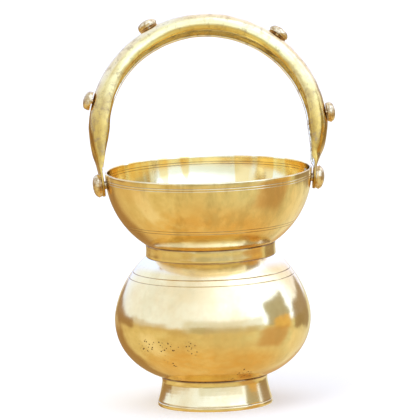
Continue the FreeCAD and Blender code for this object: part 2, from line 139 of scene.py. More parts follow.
def bowl_profile():
    side, side_radius = (10.92, 147.7), 54.1
    low_radius, turn = 55.1, -26.8
    shift = side_radius - low_radius
    low = (side[0] + shift * math.cos(math.radians(turn)), side[1] + shift * math.sin(math.radians(turn)))
    bore = SPIGOT_RADIUS - WALL
    lip = WALL / 2
    rim_angle = angle_at_height(side, side_radius, RIM_HEIGHT - lip)
    outer_low = arc(low, low_radius, -angle_at_radius(low, low_radius, SPIGOT_RADIUS), turn)
    outer_side = arc(side, side_radius, turn, rim_angle)
    outer = with_turned_lines(joined(outer_low, outer_side), RIM_LINES, 0.17, 0.34)
    outer = with_turned_lines(outer, WAIST_LINES, 0.16, 0.36)
    edge = outer[-1]
    rim = arc((edge[0] - lip, edge[1]), lip, 0, 180, 0.2)
    inner_side = arc(side, side_radius - WALL, rim_angle, turn)
    inner_end = angle_at_radius(low, low_radius - WALL, bore)
    inner_low = arc(low, low_radius - WALL, turn, -inner_end)
    bottom = SPIGOT_MEETING + 0.05
    spigot = joined([(bore, inner_low[-1][1] - 0.6)], [(bore, bottom + 0.3), (bore + 0.3, bottom)])
    spigot += [(SPIGOT_RADIUS - 0.3, bottom), (SPIGOT_RADIUS, bottom + 0.3)]
    return joined(outer, rim, inner_side, inner_low, spigot)


def bulb_arcs():
    middle, side_radius = (BULB_RADIUS - 34.6, 54.1), 34.6
    low_radius, top_radius, below, above = 42.5, 58.9, -40.3, 12.6
    low, top = [
        (
            middle[0] + (side_radius - radius) * math.cos(math.radians(angle)),
            middle[1] + (side_radius - radius) * math.sin(math.radians(angle)),
        )
        for radius, angle in ((low_radius, below), (top_radius, above))
    ]
    return (middle, side_radius), (low, low_radius), (top, top_radius), below, above


def bulb_profile():
    (middle, side_radius), (low, low_radius), (top, top_radius), below, above = bulb_arcs()
    bore = SPIGOT_RADIUS - WALL
    shoulder = angle_at_radius(top, top_radius, SPIGOT_RADIUS)
    outer = joined(
        straight((0, low[1] - low_radius), (low[0], low[1] - low_radius)),
        arc(low, low_radius, -90, below),
        arc(middle, side_radius, below, above),
        arc(top, top_radius, above, shoulder),
    )
    outer = with_turned_lines(outer, SHOULDER_LINES[:1], 0.20, 0.36)
    outer = with_turned_lines(outer, SHOULDER_LINES[1:], 0.15, 0.34)
    spigot_top = SPIGOT_MEETING - 0.05
    spigot = [(SPIGOT_RADIUS, spigot_top - 0.3), (SPIGOT_RADIUS - 0.3, spigot_top)]
    spigot += [(bore + 0.3, spigot_top), (bore, spigot_top - 0.3)]
    inner = joined(
        arc(top, top_radius - WALL, angle_at_radius(top, top_radius - WALL, bore), above),
        arc(middle, side_radius - WALL, above, below),
        arc(low, low_radius - WALL, below, -90),
        straight((low[0], low[1] - low_radius + WALL), (0, low[1] - low_radius + WALL)),
    )
    return joined(outer, spigot, inner)


def collar_profile():
    low, high = (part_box("neck_collar")[i].z / MM for i in (0, 1))
    inner = SPIGOT_RADIUS + 0.05
    edge = 0.45
    middle = COLLAR_RADIUS - 0.18
    outer = joined(
        arc((COLLAR_RADIUS - edge, low + edge), edge, -90, 0, 0.15),
        straight((COLLAR_RADIUS, low + edge), (middle, (low + high) / 2)),
        straight((middle, (low + high) / 2), (COLLAR_RADIUS, high - edge)),
        arc((COLLAR_RADIUS - edge, high - edge), edge, 0, 90, 0.15),
    )
    return joined(outer, [(inner, high - 1.2), (inner, low + 1.4)])


def foot_profile():
    _, (low, low_radius), *_ = bulb_arcs()
    seat = low_radius + 0.05
    top_inner, top_outer = 31.5, 33.8

    def seat_height(radius):
        return low[1] - math.sqrt(seat**2 - (radius - low[0]) ** 2)

    flare = [(33.05, 15.0), (33.45, 12.5), (33.95, 10.0), (34.55, 7.5), (35.2, 5.0), (35.75, 3.1)]
    outer = [
        (top_outer, seat_height(top_outer)),
        (33.4, 17.6),
        (33.13, 16.4),
        *joined(*(straight(a, b, 0.6) for a, b in zip(flare, flare[1:]))),
        (35.72, 2.75),
        (35.95, 2.5),
        (FOOT_RADIUS - 0.08, 2.36),
        (FOOT_RADIUS, 2.1),
        (FOOT_RADIUS, 0.6),
        (FOOT_RADIUS - 0.15, 0.18),
        (FOOT_RADIUS - 0.5, 0.0),
    ]
    inner = [(34.5, 0.0), (34.15, 0.25), (34.0, 0.8), (31.6, 14.0), (top_inner, 15.0)]
    inner.append((top_inner, seat_height(top_inner)))
    return joined(outer, inner)


# ---------------------------------------------------------------- mesh helpers

def new_object(name, mesh):
    obj = bpy.data.objects.new(name, mesh)
    bpy.context.scene.collection.objects.link(obj)
    return obj


def smooth_object(name, bm, sharp=None):
    mesh = bpy.data.meshes.new(name)
    bmesh.ops.recalc_face_normals(bm, faces=bm.faces)
    bm.to_mesh(mesh)
    bm.free()
    mesh.shade_smooth()
    if sharp:
        mesh.set_sharp_from_angle(angle=math.radians(sharp))
    return new_object(name, mesh)


def wave(x, y, z, size, seed):
    """A smooth value between -1 and 1 that changes over about size millimetres."""
    return noise.noise(Vector((x / size + seed, y / size - seed, z / size + 2 * seed)))


def lathe_into(bm, profile, segments, shape=None, frame_matrix=None):
    """Turn a closed profile about Z. shape moves a point (x, y, z); the matrix places the piece."""
    rings = []
    for radius, height in profile:
        ring = []
        count = 1 if radius < 1e-6 else segments
        for i in range(count):
            angle = 2 * math.pi * i / segments
            point = Vector((radius * math.cos(angle), radius * math.sin(angle), height))
            if shape:
                point = shape(point)
            if frame_matrix:
                point = frame_matrix @ point
            ring.append(bm.verts.new(point * MM))
        rings.append(ring)
    open_axis = len(rings[0]) == 1
    pairs = list(zip(rings, rings[1:]))
    if not open_axis:
        pairs.append((rings[-1], rings[0]))
    for first, second in pairs:
        for i in range(segments):
            j = (i + 1) % segments
            corners = [first[i % len(first)], first[j % len(first)]]
            corners += [second[j % len(second)], second[i % len(second)]]
            unique = list(dict.fromkeys(corners))
            if len(unique) > 2:
                bm.faces.new(unique)


def lathe(name, profile, segments=224, shape=None, matrix=None, sharp=None):
    bm = bmesh.new()
    lathe_into(bm, profile, segments, shape, matrix)
    return smooth_object(name, bm, sharp)


def hand_spun(amount, size, seed):
    """A slight unevenness that both faces of the sheet share, so the wall keeps its thickness."""

    def shape(point):
        radius = math.hypot(point.x, point.y)
        if radius < 1e-6:
            return point
        push = amount * wave(point.x, point.y, point.z * 0.6, size, seed)
        scale = (radius - amount + push) / radius
        return Vector((point.x * scale, point.y * scale, point.z))

    return shape


# ---------------------------------------------------------------- materials

class Graph:
    """A small helper that adds and links the nodes of one material or world."""

    def __init__(self, tree):
        self.tree = tree
        self.nodes = tree.nodes
        self.links = tree.links

    def add(self, kind, **settings):
        node = self.nodes.new(kind)
        for name, value in settings.items():
            setattr(node, name, value)
        return node

    def feed(self, socket, value):
        if isinstance(value, bpy.types.NodeSocket):
            self.links.new(value, socket)
        else:
            socket.default_value = value

    def math(self, operation, first, second=0.0, third=0.0):
        node = self.add("ShaderNodeMath", operation=operation)
        for socket, value in zip(node.inputs, (first, second, third)):
            self.feed(socket, value)
        return node.outputs[0]

    def noise(self, vector, scale, detail=4.0, roughness=0.55):
        node = self.add("ShaderNodeTexNoise")
        self.feed(node.inputs["Vector"], vector)
        self.feed(node.inputs["Scale"], scale)
        self.feed(node.inputs["Detail"], detail)
        self.feed(node.inputs["Roughness"], roughness)
        return node.outputs["Fac"]

    def steps(self, value, low, high, to_low=0.0, to_high=1.0):
        node = self.add("ShaderNodeMapRange", interpolation_type="SMOOTHSTEP", clamp=True)
        for socket, number in zip(node.inputs, (value, low, high, to_low, to_high)):
            self.feed(socket, number)
        return node.outputs[0]

    def mix(self, share, first, second, blend="MIX"):
        node = self.add("ShaderNodeMix", data_type="RGBA", blend_type=blend)
        self.feed(node.inputs[0], share)
        self.feed(node.inputs[6], first)
        self.feed(node.inputs[7], second)
        return node.outputs[2]

    def split(self, vector):
        node = self.add("ShaderNodeSeparateXYZ")
        self.feed(node.inputs[0], vector)
        return node.outputs

    def dot(self, *pairs):
        """The sum of the products of the pairs."""
        total = 0.0
        for first, second in pairs:
            total = self.math("MULTIPLY_ADD", first, second, total)
        return total

    def normal(self):
        """The surface direction in the object's own frame."""
        return self.split(self.add("ShaderNodeTexCoord").outputs["Normal"])

    def combine(self, x, y, z):
        node = self.add("ShaderNodeCombineXYZ")
        for socket, value in zip(node.inputs, (x, y, z)):
            self.feed(socket, value)
        return node.outputs[0]

    def window(self, value, low, high, soft):
        """1 between two angles in degrees, falling to 0 over the softness at each."""
        low, high, soft = (math.radians(angle) for angle in (low, high, soft))
        return self.math(
            "MULTIPLY",
            self.steps(value, low - soft, low + soft),
            self.steps(value, high - soft, high + soft, 1.0, 0.0),
        )

    def band(self, value, centre, half_width):
        """1 at the centre, 0 beyond the half width."""
        gap = self.math("ABSOLUTE", self.math("SUBTRACT", value, centre))
        return self.steps(gap, 0.0, half_width, 1.0, 0.0)


def start_material(name):
    material = bpy.data.materials.new(name)
    material.use_nodes = True
    graph = Graph(material.node_tree)
    shader = material.node_tree.nodes["Principled BSDF"]
    shader.inputs["Metallic"].default_value = 1.0
    place = graph.add("ShaderNodeTexCoord").outputs["Object"]
    return material, graph, shader, place, graph.split(place)


def add_bump(graph, shader, height, strength, distance):
    bump = graph.add("ShaderNodeBump")
    bump.inputs["Strength"].default_value = strength
    bump.inputs["Distance"].default_value = distance
    graph.feed(bump.inputs["Height"], height)
    graph.feed(shader.inputs["Normal"], bump.outputs[0])


def colour(red, green, blue):
    return (red, green, blue, 1.0)


def spun_brass(name, dark_heights=(), pits_and_painted_top_reflection=False, mottle=0.2):
    """Lathe-polished brass: turned lines, cloudy tone, tarnish at the given heights, and inside walls painted
    paler as a painted reflection; with pits, also a painted pale reflection on the bulb's upper shoulder.
    """
    material, graph, shader, place, (x, y, z) = start_material(name)
    radius = graph.math("SQRT", graph.dot((x, x), (y, y)))
    cloud = graph.noise(place, 26.0, 5.0, 0.62)
    patches = graph.noise(place, 70.0, 6.0, 0.7)
    streaks = graph.noise(graph.combine(x, y, graph.math("MULTIPLY", z, 0.35)), 55.0, 4.0, 0.65)
    base = graph.mix(graph.steps(cloud, 0.35, 0.68), colour(0.95, 0.73, 0.32), colour(0.88, 0.60, 0.22))
    base = graph.mix(graph.steps(patches, 0.52, 0.78, 0.0, 0.45), base, colour(0.78, 0.47, 0.16))
    base = graph.mix(graph.steps(streaks, 0.46, 0.62, 0.0, mottle), base, colour(0.66, 0.48, 0.18))
    # Painted reflection: inward-facing walls are painted paler, in pale and orange blocks, standing in for
    # the bright sky they mirror.
    nx, ny, _ = graph.normal()
    within = graph.steps(graph.dot((nx, x), (ny, y)), -0.012, -0.002, 1.0, 0.0)
    reflection_blocks = graph.noise(graph.combine(x, y, graph.math("MULTIPLY", z, 0.08)), 62.0, 2.0, 0.5)
    reflection_blocks = graph.math("ADD", reflection_blocks, graph.math("MULTIPLY", graph.math("ABSOLUTE", x), 3.0))
    pale = graph.mix(graph.steps(reflection_blocks, 0.58, 0.64), colour(0.99, 0.84, 0.42), colour(0.96, 0.66, 0.20))
    base = graph.mix(graph.math("MULTIPLY", within, 0.9), base, pale)
    tarnish = None
    for height, half_width in dark_heights:
        band = graph.band(z, height * MM, half_width * MM)
        tarnish = band if tarnish is None else graph.math("MAXIMUM", tarnish, band)
    if tarnish is not None:
        uneven = graph.math("MULTIPLY", tarnish, graph.steps(patches, 0.3, 0.6, 0.55, 1.0))
        base = graph.mix(uneven, base, colour(0.30, 0.15, 0.05))
    cloudy = graph.steps(cloud, 0.3, 0.75, 0.10, 0.20)
    rough = graph.math("ADD", cloudy, graph.steps(patches, 0.55, 0.8, 0.0, 0.12))
    stretched = graph.math("MULTIPLY", graph.math("ADD", z, radius), 14.0)
    turned = graph.combine(graph.math("MULTIPLY", x, 0.25), graph.math("MULTIPLY", y, 0.25), stretched)
    lines = graph.noise(turned, 150.0, 3.0, 0.6)
    height = lines
    if pits_and_painted_top_reflection:
        cells = graph.add("ShaderNodeTexVoronoi")
        graph.feed(cells.inputs["Vector"], place)
        cells.inputs["Scale"].default_value = 560.0
        spots = graph.steps(cells.outputs["Distance"], 0.16, 0.42, 1.0, 0.0)
        turn = graph.math("ARCTAN2", x, graph.math("MULTIPLY", y, -1.0))
        where = graph.math("MULTIPLY", graph.window(turn, -52, -14, 6), graph.band(z, 0.0440, 0.007))
        scattered = graph.steps(graph.noise(place, 190.0, 2.0), 0.42, 0.52)
        low = graph.steps(graph.noise(place, 32.0, 2.0), 0.58, 0.66)
        low = graph.math("MULTIPLY", low, graph.steps(z, 0.028, 0.040, 1.0, 0.0))
        where = graph.math("MAXIMUM", graph.math("MULTIPLY", where, scattered), low)
        spots = graph.math("MULTIPLY", spots, graph.steps(where, 0.10, 0.45))
        # Painted reflection: the bulb's upper shoulder, above about 87 to 93 mm, is painted near-white cream
        # for the bright sky it faces.
        base = graph.mix(graph.steps(z, 0.087, 0.093, 0.0, 0.6), base, colour(1.0, 0.95, 0.78))
        base = graph.mix(spots, base, colour(0.16, 0.08, 0.03))
        rough = graph.math("ADD", rough, graph.math("MULTIPLY", spots, 0.4))
        height = graph.math("SUBTRACT", lines, graph.math("MULTIPLY", spots, 3.0))
    graph.feed(shader.inputs["Base Color"], base)
    graph.feed(shader.inputs["Roughness"], rough)
    add_bump(graph, shader, height, 0.35, 0.00003)
    return material


def sheet_brass(name):
    """The bail's hand-worked sheet, with grime: its paler crown, deeper gold flanks and legs and near-white
    inner face are painted reflection.
    """
    material, graph, shader, place, (x, y, z) = start_material(name)
    above = graph.math("SUBTRACT", z, PIVOT_HEIGHT * MM)
    sine, cosine = math.sin(HANDLE_LEAN), math.cos(HANDLE_LEAN)
    across = graph.dot((y, cosine), (above, -sine))
    along = graph.dot((y, sine), (above, cosine))
    nx, ny, nz = graph.normal()
    normal_across = graph.dot((ny, cosine), (nz, -sine))
    normal_along = graph.dot((ny, sine), (nz, cosine))
    up = graph.math("MAXIMUM", graph.math("SUBTRACT", along, ARCH_HEIGHT * MM), 0.0)
    side = graph.math("SUBTRACT", x, ARCH_OFFSET * MM)
    reach = graph.math("SQRT", graph.dot((up, up), (side, side)))
    facing = graph.math("DIVIDE", graph.dot((nx, side), (normal_along, up)), reach)
    rise = graph.math("SUBTRACT", reach, SECTION_CENTRE * MM)
    outside = graph.steps(graph.dot((facing, rise), (normal_across, across)), -0.001, 0.001)
    # high runs from the legs up to the crown. The tones it drives paint the crown paler and the legs deeper
    # gold, a painted reflection of the sky above and the warm ground beside; the random choice between tones
    # is real.
    high = graph.steps(along, 0.030, 0.085)
    allowance = graph.steps(high, 0.0, 1.0, 0.50, 0.05)
    edge_on = graph.steps(graph.math("SUBTRACT", facing, allowance), 0.28, 0.62, 1.0, 0.0)
    # Painted reflection: the sheet's near-side faces, seen edge-on, are painted yellow for the horizon and
    # ground they mirror.
    flank = graph.math("MULTIPLY", outside, edge_on)
    broad = graph.noise(place, 38.0, 4.0, 0.6)
    fine = graph.noise(place, 230.0, 6.0, 0.72)
    streaks = graph.noise(graph.combine(graph.math("MULTIPLY", across, 5.0), reach, along), 60.0, 4.0, 0.65)
    rubbed = graph.mix(high, colour(0.80, 0.53, 0.14), colour(0.95, 0.76, 0.38))
    duller = graph.mix(high, colour(0.58, 0.35, 0.08), colour(0.88, 0.62, 0.25))
    base = graph.mix(graph.steps(broad, 0.36, 0.66), rubbed, duller)
    light = graph.mix(high, colour(0.66, 0.38, 0.06), colour(1.0, 0.80, 0.28))
    dark = graph.mix(high, colour(0.44, 0.24, 0.04), colour(0.84, 0.58, 0.17))
    painted_flank_reflection = graph.mix(graph.steps(streaks, 0.38, 0.62), light, dark)
    base = graph.mix(graph.math("MULTIPLY", flank, 0.92), base, painted_flank_reflection)
    # Painted reflection: the channel's inner face is painted a near-white cream.
    base = graph.mix(outside, colour(1.0, 0.92, 0.66), base)
    worn = graph.steps(along, 0.030, 0.075, 0.85, 0.50)
    grime = graph.math("MULTIPLY", graph.steps(fine, 0.50, 0.66), worn)
    base = graph.mix(grime, base, colour(0.40, 0.24, 0.08))
    rough = graph.math("ADD", graph.steps(broad, 0.3, 0.7, 0.13, 0.24), graph.steps(fine, 0.5, 0.8, 0.0, 0.2))
    graph.feed(shader.inputs["Base Color"], base)
    graph.feed(shader.inputs["Roughness"], rough)
    height = graph.dot((broad, 2.0), (fine, 0.5), (streaks, 0.6))
    add_bump(graph, shader, height, 0.5, 0.0002)
    return material


def hammered_brass(name):
    """Rivet heads: pale and rubbed on the facets, brown patina between them."""
    material, graph, shader, place, _ = start_material(name)
    patches = graph.noise(place, 300.0, 5.0, 0.7)
    fine = graph.noise(place, 900.0, 4.0, 0.7)
    base = graph.mix(graph.steps(patches, 0.42, 0.62), colour(0.90, 0.67, 0.31), colour(0.52, 0.32, 0.11))
    base = graph.mix(graph.steps(fine, 0.56, 0.72, 0.0, 0.8), base, colour(0.25, 0.14, 0.06))
    graph.feed(shader.inputs["Base Color"], base)
    graph.feed(shader.inputs["Roughness"], graph.steps(patches, 0.3, 0.7, 0.22, 0.42))
    height = graph.math("ADD", patches, graph.math("MULTIPLY", fine, 0.35))
    add_bump(graph, shader, height, 0.8, 0.00035)
    return material


def washer_brass(name):
    """Dull sheet washers with dark grime; their overall dark tone is painted shade for the shadowed gaps they
    sit in.
    """
    material, graph, shader, place, _ = start_material(name)
    patches = graph.noise(place, 420.0, 5.0, 0.7)
    # Painted shade: both tones are kept dark so the washers read as shadow gaps under the heads; the patches
    # between them are grime.
    base = graph.mix(graph.steps(patches, 0.4, 0.65), colour(0.70, 0.50, 0.22), colour(0.33, 0.19, 0.08))
    graph.feed(shader.inputs["Base Color"], base)
    graph.feed(shader.inputs["Roughness"], graph.steps(patches, 0.3, 0.7, 0.35, 0.55))
    add_bump(graph, shader, patches, 0.5, 0.0002)
    return material


def dress(obj, material):
    obj.data.materials.clear()
    obj.data.materials.append(material)


def put(obj, material, body, slot, *nodes):
    """Dress a new piece, hang it on its body and let it stand for its CAD nodes."""
    dress(obj, material)
    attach(obj, body)
    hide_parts(*nodes)


# ---------------------------------------------------------------- the pot

def make_pot():
    bowl = lathe("upper_bowl_sheet", bowl_profile(), shape=hand_spun(0.10, 26.0, 3.1))
    bowl_dark = [(height, 0.3) for height in RIM_LINES + WAIST_LINES] + [(101.8, 1.6)]
    put(bowl, spun_brass("bowl_brass", bowl_dark, mottle=0.6), "pot", "spun_brass", "upper_bowl")
    bulb = lathe("bulb_shell", bulb_profile(), shape=hand_spun(0.12, 30.0, 7.7))
    bulb_dark = ((SHOULDER_LINES[0], 0.3), (SHOULDER_LINES[1], 0.25), (95.4, 0.8), (18.3, 1.2))
    put(bulb, spun_brass("bulb_brass", bulb_dark, pits_and_painted_top_reflection=True), "pot", "spun_brass", "bulb")
    collar = lathe("neck_band", collar_profile())
    put(collar, spun_brass("collar_brass", ((94.6, 0.5), (102.1, 0.5))), "pot", "spun_brass", "neck_collar")
    foot = lathe("foot_band", foot_profile(), shape=hand_spun(0.05, 24.0, 5.2))
    put(foot, spun_brass("foot_brass", ((2.7, 0.35), (18.2, 1.0))), "pot", "spun_brass", "foot_ring")


# ---------------------------------------------------------------- the handle

def lean_matrix():
    """From the handle's own upright frame, with the pivot at its origin, to the row's frame in mm."""
    return Matrix.Translation((0, 0, PIVOT_HEIGHT)) @ Matrix.Rotation(-HANDLE_LEAN, 4, "X")


# Sections of the legs between the flat tabs and the arch: lip distance and height, crest distance and
# height, half width. The right leg comes first; both are given as if on the right.
LEGS = (
    ((66.85, 9.0, 69.1, 8.7, 8.3), (65.5, 15.2, 71.7, 13.5, 9.2), (65.6, 22.5, 74.7, 20.6, 10.2)),
    ((66.85, 9.0, 68.8, 8.7, 8.3), (65.4, 15.0, 70.3, 13.6, 9.2), (63.4, 22.5, 72.6, 20.6, 10.2)),
)
ROUND, FLAT = 2.0, 6.0


def tab_stations():
    """Crest point, outward direction, depth, half width and squareness down one flat tab."""
    outward = Vector((math.cos(TAB_TILT), 0, -math.sin(TAB_TILT)))
    stations = []
    for degrees in (86, 74, 58, 40, 20, 0):
        angle = math.radians(degrees)
        height = -TAB_END * math.sin(angle)
        stations.append((height, TAB_HALF_WIDTH * math.cos(angle)))
    stations.append((4.2, TAB_HALF_WIDTH))
    return [
        (Vector((TAB_INNER + height * math.tan(TAB_TILT) + WALL, 0, height)), outward, WALL, half_width, FLAT)
        for height, half_width in stations
    ]


def leg_stations(leg):
    stations = tab_stations()
    for lip_x, lip_z, crest_x, crest_z, half_width in leg:
        crest = Vector((crest_x, 0, crest_z))
        outward = crest - Vector((lip_x, 0, lip_z))
        flat = 1 - min(1.0, (outward.length - WALL) / WORKED_DEPTH)
        square = ROUND + (FLAT - ROUND) * flat
        stations.append((crest, outward.normalized(), outward.length, half_width, square))
    return stations


def flipped(station):
    crest, outward, depth, half_width, square = station
    mirror = Vector((-1, 1, 1))
    return crest * mirror, outward * mirror, depth, half_width, square


def handle_stations():
    right, left = (leg_stations(leg) for leg in LEGS)
    arch = []
    steps = 24
    for i in range(steps + 1):
        angle = math.pi * i / steps
        outward = Vector((math.cos(angle), 0, math.sin(angle)))
        side_depth = DEPTH_RIGHT if outward.x > 0 else DEPTH_LEFT
        depth = side_depth + (DEPTH_CROWN - side_depth) * math.sin(angle)
        if outward.x < 0:
            depth -= 0.6 * max(0.0, 1 - outward.z / 0.2)
        half_width = SIDE_HALF_WIDTH + CROWN_WIDENING * math.sin(angle)
        crest = Vector((ARCH_OFFSET, 0, ARCH_HEIGHT)) + outward * CREST_RADIUS
        arch.append((crest, outward, depth, half_width, ROUND))
    return right + arch + [flipped(station) for station in reversed(left)]


def power(value, exponent):
    return math.copysign(abs(value) ** exponent, value)


def channel_loop(depth, half_width, square, count=34):
    """The closed outline of the channel's section, as (across, outward) points from its centre."""
    turn = LIP_TURN * min(max((depth - LIP_TURN_START) / LIP_TURN_SPAN, 0.0), 1.0)
    height = depth / (1 + math.sin(turn))

    def curve(width, rise, reverse):
        points = []
        for i in range(count + 1):
            angle = (math.pi + 2 * turn) * i / count - turn
            across, outward = math.cos(angle), math.sin(angle)
            points.append((width * power(across, 2 / square), max(rise, 0.02) * power(outward, 2 / square)))
        return points[::-1] if reverse else points

    outer = curve(half_width, height, False)
    inner = curve(half_width - WALL, height - WALL, True)
    return outer + rounded_end(outer[-1], inner[0]) + inner + rounded_end(inner[-1], outer[0]), height


def rounded_end(first, last, bulge=0.22):
    """Three points that round the sheet's edge between its outer and inner face."""
    (x1, y1), (x2, y2) = first, last
    dx, dy = x2 - x1, y2 - y1
    side = (dy, -dx)
    return [
        (x1 + dx * share + side[0] * lift, y1 + dy * share + side[1] * lift)
        for share, lift in ((0.15, bulge * 0.6), (0.5, bulge), (0.85, bulge * 0.6))
    ]


def resample(stations, spacing=1.3):
    """Stations blended to an even spacing with a smooth spline through the given ones."""
    fine = []
    for k in range(len(stations) - 1):
        before, a, b, after = (stations[min(max(k + d, 0), len(stations) - 1)] for d in (-1, 0, 1, 2))
        count = max(1, round((a[0] - b[0]).length / spacing))
        for i in range(count):
            fine.append(tuple(catmull(before[f], a[f], b[f], after[f], i / count) for f in range(5)))
    fine.append(stations[-1])
    return fine


def catmull(before, first, second, after, share):
    square, cube = share * share, share * share * share
    return (
        first * 2 + (second - before) * share
        + (before * 2 - first * 5 + second * 4 - after) * square
        + (first * 3 - before - second * 3 + after) * cube
    ) * 0.5


def dent(point, across, depth):
    """How far the hand-beaten sheet is pressed in at a point, always inwards, none on the tabs."""
    worked = min(1.0, max(0.0, (depth - WALL) / WORKED_DEPTH))
    broad = wave(point.x, across * 0.8, point.z, 17.0, 1.9)
    beaten = wave(point.x, across * 1.5, point.z, 6.5, 4.3)
    return worked * (0.34 + 0.20 * broad + 0.16 * beaten)


def make_handle():
    matrix = lean_matrix()
    bm = bmesh.new()
    rings = []
    for crest, outward, depth, half_width, square in resample(handle_stations()):
        outward = outward.normalized()
        loop, height = channel_loop(depth, half_width, max(square, ROUND))
        ring = []
        for across, rise in loop:
            place = crest + outward * (rise - height) + Vector((0, across, 0))
            inward = Vector((0, across / half_width, 0)) + outward * (rise / height)
            place -= inward.normalized() * dent(place, across, depth) if inward.length > 0.2 else Vector()
            ring.append(bm.verts.new(matrix @ place * MM))
        rings.append(ring)
    size = len(rings[0])
    for first, second in zip(rings, rings[1:]):
        for i in range(size):
            j = (i + 1) % size
            bm.faces.new((first[i], first[j], second[j], second[i]))
    for ring in (rings[0], rings[-1]):
        bm.faces.new(ring)
    handle = smooth_object("bail_channel", bm, 50)
    put(handle, sheet_brass("bail_brass"), "bail", "handle_brass", "handle")


# ---------------------------------------------------------------- rivets, studs and washers

# Heads: foot radius, belly radius and height, full height, crown radius, crown arc, flank arc.
PIVOT_HEAD = (6.7, 7.5, 2.0, 5.5, 4.6, 13.0, 4.5)
STUD_HEAD = (5.9, 6.6, 1.7, 5.2, 4.0, 11.5, 3.8)
FACETS = 17


def head_profile(foot, belly, belly_height, height, crown, crown_arc, flank):
    """A hammered dome's outline from the axis at its base to the axis at its top."""
    crown_height = height - crown_arc + math.sqrt(crown_arc**2 - crown**2)
    points = straight((0, 0), (foot, 0), 1.0)
    points += straight((foot, 0), (belly, belly_height), 0.35)
    start, end = Vector((belly, belly_height)), Vector((crown, crown_height))
    chord = end - start
    side = Vector((-chord.y, chord.x)).normalized()
    centre = (start + end) / 2 + side * math.sqrt(flank**2 - chord.length_squared / 4)
    first = math.degrees(math.atan2(start.y - centre.y, start.x - centre.x))
    last = math.degrees(math.atan2(end.y - centre.y, end.x - centre.x))
    points += arc(centre, flank, first, last, 0.3)
    top = (0, height - crown_arc)
    points += arc(top, crown_arc, angle_at_radius(top, crown_arc, crown), 90, 0.4)
    return joined(points)


def hammered(height, radius, seed, base=0.0):
    """Cut soft facets into a dome, as a hammer leaves them. It only ever takes metal away."""
    rng = random.Random(seed)
    facets = []
    for _ in range(FACETS):
        turn = rng.uniform(0, 2 * math.pi)
        tilt = math.radians(rng.uniform(4, 82))
        normal = Vector((math.sin(tilt) * math.cos(turn), math.sin(tilt) * math.sin(turn), math.cos(tilt)))
        reach = radius * math.sin(tilt) * 0.90 + height * math.cos(tilt)
        facets.append((normal, reach * rng.uniform(0.86, 0.95)))

    def shape(point):
        local = Vector((point.x, point.y, point.z - base))
        if local.z < 0.15:
            return point
        fade = min(1.0, local.z / 0.8)
        for normal, distance in facets:
            over = local.dot(normal) - distance
            if over > -0.25:
                soft = over if over > 0.25 else (over + 0.25) ** 2
                local -= normal * soft * fade
        local.z = max(local.z, 0.1)
        uneven = 0.10 * wave(local.x, local.y, local.z, 1.6, seed)
        local *= 1.0 - 0.012 + 0.012 * uneven
        return Vector((local.x, local.y, local.z + base))

    return shape


def axis_matrix(origin, out, up):
    """A frame whose Z is out and whose X is close to up."""
    z = out.normalized()
    y = z.cross(up).normalized()
    x = y.cross(z)
    rotation = Matrix((x, y, z)).transposed().to_4x4()
    return Matrix.Translation(origin) @ rotation


def rounded_washer(inner, outer, low, high, edge=0.25):
    corners = ((inner, low), (outer, low), (outer, high), (inner, high))
    points = []
    for (x, y), (dx, dy) in zip(corners, ((1, 1), (-1, 1), (-1, -1), (1, -1))):
        ends = [(x + dx * edge, y), (x, y + dy * edge)]
        middle = (x + dx * edge * 0.3, y + dy * edge * 0.3)
        if (dx, dy) in ((1, 1), (-1, -1)):
            ends.reverse()
        points += [ends[0], middle, ends[1]]
    return points


def make_pivots():
    rivet_material = hammered_brass("pivot_brass")
    shaded_washer_material = washer_brass("washer_metal_painted_shade")
    lean = lean_matrix()
    for name, side, seed in (("left", -1, 21), ("right", 1, 34)):
        up = Vector((0, 0, 1))
        shank_frame = lean @ axis_matrix(Vector(), Vector((side, 0, 0)), up)
        seat = Vector((side * (TAB_INNER + WALL / math.cos(TAB_TILT)), 0, 0))
        tilted = Vector((side * math.cos(TAB_TILT), 0, -math.sin(TAB_TILT)))
        head_frame = lean @ axis_matrix(seat, tilted, up)
        bm = bmesh.new()
        beaten = hammered(PIVOT_HEAD[3], PIVOT_HEAD[1], seed)
        lathe_into(bm, head_profile(*PIVOT_HEAD), 72, beaten, head_frame)
        tail = [(0, 59.3), (1.4, 59.32), (2.6, 59.45), (3.4, 59.85), (3.7, 60.3), (3.6, 60.5), (2.5, 60.5)]
        shank = tail + [(2.5, 68.0), (0, 68.0)]
        lathe_into(bm, shank, 48, None, shank_frame)
        rivet = smooth_object(f"pivot_rivet_{name}_hammered", bm, 45)
        put(rivet, rivet_material, "bail", "rivet_brass", f"pivot_rivet_{name}")
        burr = lathe(f"inner_burr_{name}_disc", rounded_washer(2.55, 5.6, 60.5, 61.7), 64, None, shank_frame)
        put(burr, shaded_washer_material, "bail", "washer_brass", f"inner_burr_{name}")
        inner_seat = Vector((side * TAB_INNER, 0, 0))
        spacer_frame = lean @ axis_matrix(inner_seat, tilted, up)
        ring = rounded_washer(2.67, 3.9, -0.4, 0.0, 0.1)
        spacer = lathe(f"spacer_{name}_disc", ring, 64, None, spacer_frame)
        put(spacer, shaded_washer_material, "bail", "washer_brass", f"spacer_washer_{name}")


